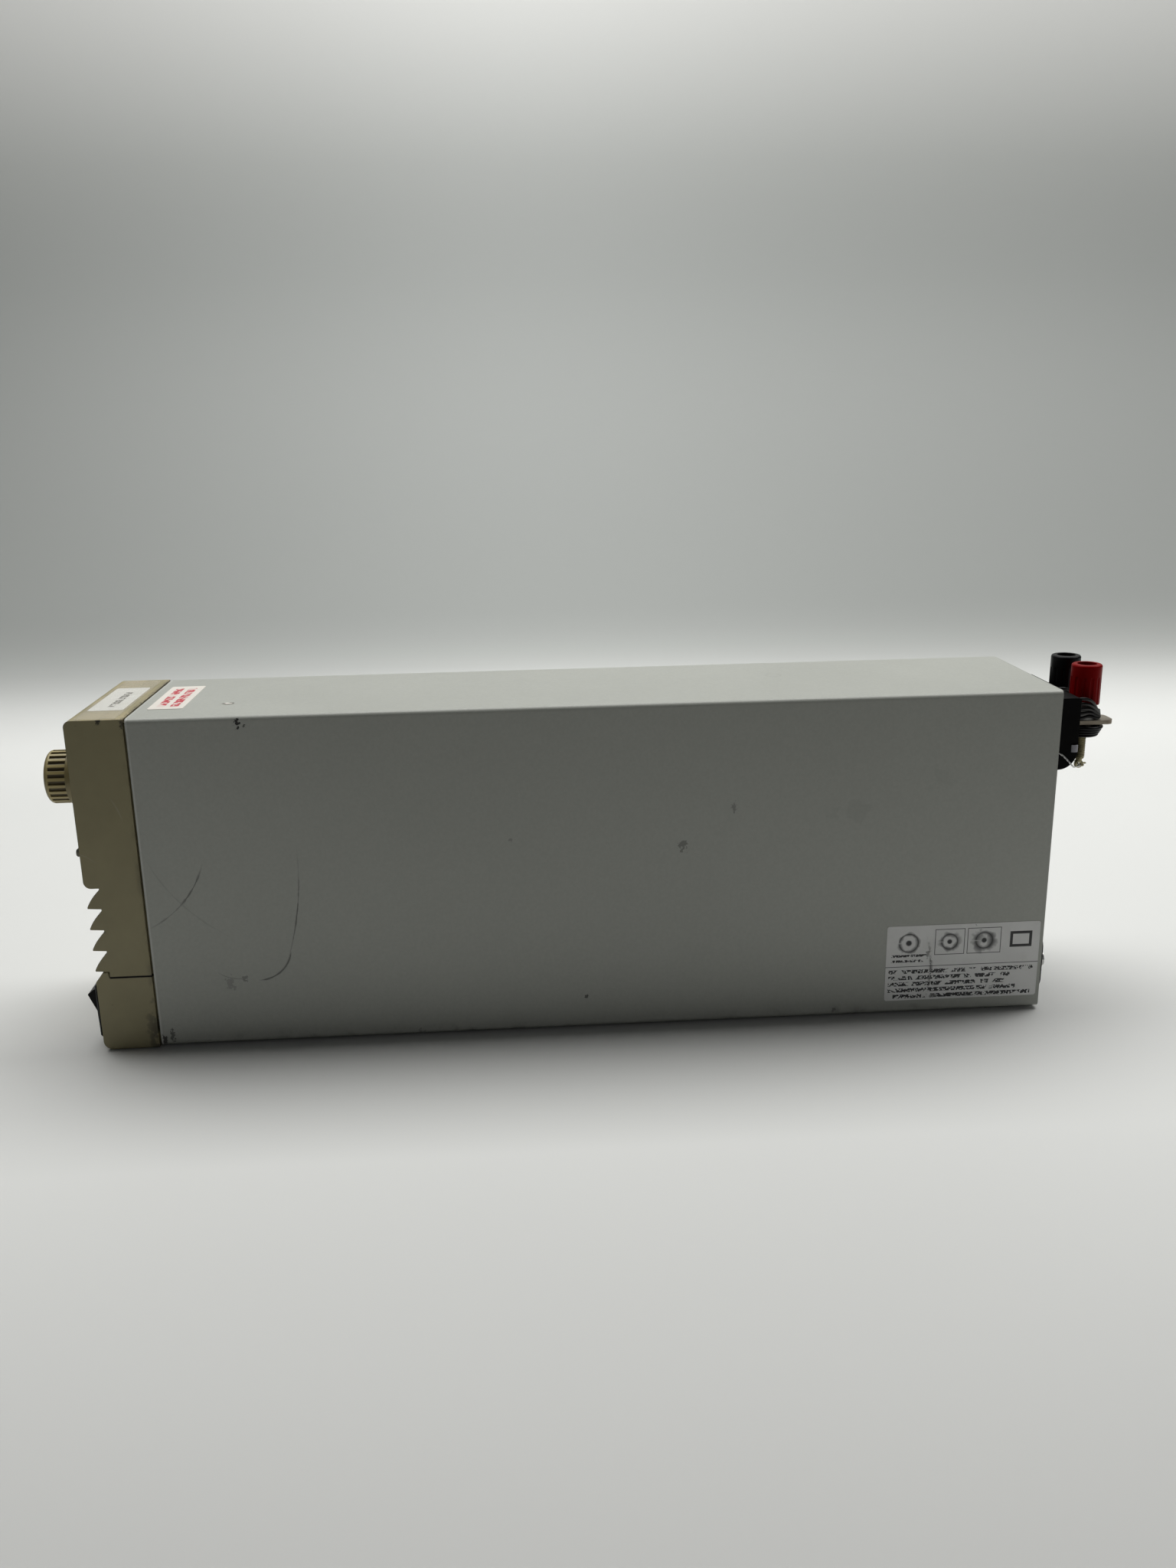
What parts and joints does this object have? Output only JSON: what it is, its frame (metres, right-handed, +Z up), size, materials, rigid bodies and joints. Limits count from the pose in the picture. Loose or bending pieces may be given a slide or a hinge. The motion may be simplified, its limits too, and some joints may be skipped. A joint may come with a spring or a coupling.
{
  "type": "bench power supply",
  "caption": "Slim upright bench power supply with folded metal cover, louvred plastic bezel, fluted knob, rocker switch and bus-bar output terminals at the rear.",
  "frame": {"origin": "on the table under the middle of the whole object", "axes": "+Y from the front bezel to the rear terminals, +Z up, +X to the right seen from the front"},
  "size_m": [0.0701, 0.3936, 0.1296],
  "materials": {
    "case_paint": "fine-textured light grey powder coat, slightly scuffed",
    "zinc_sheet": "zinc-plated folded sheet",
    "bezel_plastic": "aged cream moulding with fine spark texture",
    "knob_plastic": "cream moulding, yellowed",
    "button_plastic": "grey-beige keys",
    "black_plastic": "black glass-filled moulding",
    "red_plastic": "red moulded terminal cap",
    "neck_plastic": "grey insulating sleeve",
    "window_acrylic": "smoked red acrylic lens",
    "digit_plastic": "seven-segment module",
    "nickel": "nickel plate, dulled",
    "bar_plate": "tin-plated copper bar, tarnished",
    "brass": "turned brass",
    "steel_screw": "zinc-plated steel",
    "rubber": "moulded rubber foot",
    "pcb": "glass-epoxy board with green mask",
    "ferrite": "sintered ferrite",
    "winding": "taped winding",
    "copper_wire": "enamelled copper",
    "cap_sleeve": "shrink-sleeved can",
    "film_cap": "boxed film capacitor",
    "heatsink_al": "extruded aluminium",
    "epoxy_black": "moulded epoxy",
    "lamp_resin": "tinted lamp resin",
    "wire_black": "black PVC insulation",
    "tinned_wire": "bare tinned wire",
    "ribbon": "flat ribbon cable",
    "label_silver": "silver-white polyester label",
    "label_cream": "cream paper label with red print blocks",
    "label_white": "white paper label under clear tape",
    "tag_foil": "thin grey tag"
  },
  "bodies": {
    "root": {"asset_label": "label_white", "binding_posts": "nickel", "board_standoffs": "brass", "bridge_rectifier": "epoxy_black", "bulk_capacitors": "cap_sleeve", "busbar_negative": "bar_plate", "busbar_positive": "bar_plate", "chassis_tray": "zinc_sheet", "comm_jacks": "epoxy_black", "control_board": "pcb", "cover": "case_paint", "digit_modules": "digit_plastic", "display_board": "pcb", "display_window": "window_acrylic", "earth_stud": "nickel", "encoder_body": "zinc_sheet", "eye_wire": "tinned_wire", "fan_frame": "black_plastic", "fan_guard": "nickel", "fan_screws": "steel_screw", "feet": "rubber", "filter_capacitors": "film_cap", "heatsinks": "heatsink_al", "indicator_lamps": "lamp_resin", "inlet_pins": "nickel", "lower_bezel": "bezel_plastic", "m3_screws": "steel_screw", "main_board": "pcb", "mains_inlet": "black_plastic", "output_capacitors": "cap_sleeve", "post_necks": "neck_plastic", "post_nuts": "nickel", "power_transistors": "epoxy_black", "rating_label": "label_silver", "rear_panel": "case_paint", "ribbon_cable": "ribbon", "ring_chokes": "copper_wire", "sense_block": "lamp_resin", "sense_leads": "wire_black", "service_label": "label_cream", "switch_body": "black_plastic", "tact_switches": "epoxy_black", "terminal_housing": "black_plastic", "transformer_core": "ferrite", "transformer_winding": "winding", "upper_bezel": "bezel_plastic", "wire_tag": "tag_foil"},
    "knob": {"knob": "knob_plastic", "encoder_shaft": "nickel"},
    "rocker": {"switch_rocker": "black_plastic"},
    "fan": {"fan_rotor": "black_plastic"},
    "positive_insert": {"cap_insert_positive": "brass"},
    "negative_insert": {"cap_insert_negative": "brass"},
    "positive_cap": {"cap_positive": "red_plastic"},
    "negative_cap": {"cap_negative": "black_plastic"},
    "output_button": {"output_button": "button_plastic"},
    "preset_button": {"preset_button": "button_plastic"},
    "limit_button": {"limit_button": "button_plastic"},
    "memory_button": {"memory_button": "button_plastic"},
    "local_button": {"local_button": "button_plastic"}
  },
  "joints": [
    {"name": "knob_turn", "type": "hinge", "parent": "root", "child": "knob", "pos_m": [0.021, -0.18995, 0.1018], "axis": [0, -1, 0], "continuous": true},
    {"name": "rocker_tilt", "type": "hinge", "parent": "root", "child": "rocker", "pos_m": [0.0235, -0.1853, 0.014], "axis": [1, 0, 0], "range_deg": [-24, 0]},
    {"name": "fan_spin", "type": "hinge", "parent": "root", "child": "fan", "pos_m": [-0.008, 0.15905, 0.064], "axis": [0, 1, 0], "continuous": true},
    {"name": "output_button_press", "type": "slide", "parent": "root", "child": "output_button", "axis": [0, 1, 0], "range_m": [0, 0.0008], "stiffness_N_per_m": 400, "springref_m": -0.001},
    {"name": "preset_button_press", "type": "slide", "parent": "root", "child": "preset_button", "axis": [0, 1, 0], "range_m": [0, 0.0008], "stiffness_N_per_m": 400, "springref_m": -0.001},
    {"name": "limit_button_press", "type": "slide", "parent": "root", "child": "limit_button", "axis": [0, 1, 0], "range_m": [0, 0.0008], "stiffness_N_per_m": 400, "springref_m": -0.001},
    {"name": "memory_button_press", "type": "slide", "parent": "root", "child": "memory_button", "axis": [0, 1, 0], "range_m": [0, 0.0008], "stiffness_N_per_m": 400, "springref_m": -0.001},
    {"name": "local_button_press", "type": "slide", "parent": "root", "child": "local_button", "axis": [0, 1, 0], "range_m": [0, 0.0008], "stiffness_N_per_m": 400, "springref_m": -0.001},
    {"name": "positive_lift", "type": "slide", "parent": "root", "child": "positive_insert", "axis": [0, 0, 1], "range_m": [0, 0.0014]},
    {"name": "positive_turn", "type": "hinge", "parent": "positive_insert", "child": "positive_cap", "pos_m": [0.0095, 0.18645, 0.122], "axis": [0, 0, 1], "range_deg": [0, 722]},
    {"name": "negative_lift", "type": "slide", "parent": "root", "child": "negative_insert", "axis": [0, 0, 1], "range_m": [0, 0.0014]},
    {"name": "negative_turn", "type": "hinge", "parent": "negative_insert", "child": "negative_cap", "pos_m": [-0.0095, 0.18645, 0.122], "axis": [0, 0, 1], "range_deg": [0, 722]}
  ],
  "couplings": [
    {"joint": "positive_turn", "follows": "positive_lift", "rad_per_m": 8976},
    {"joint": "negative_turn", "follows": "negative_lift", "rad_per_m": 8976}
  ]
}
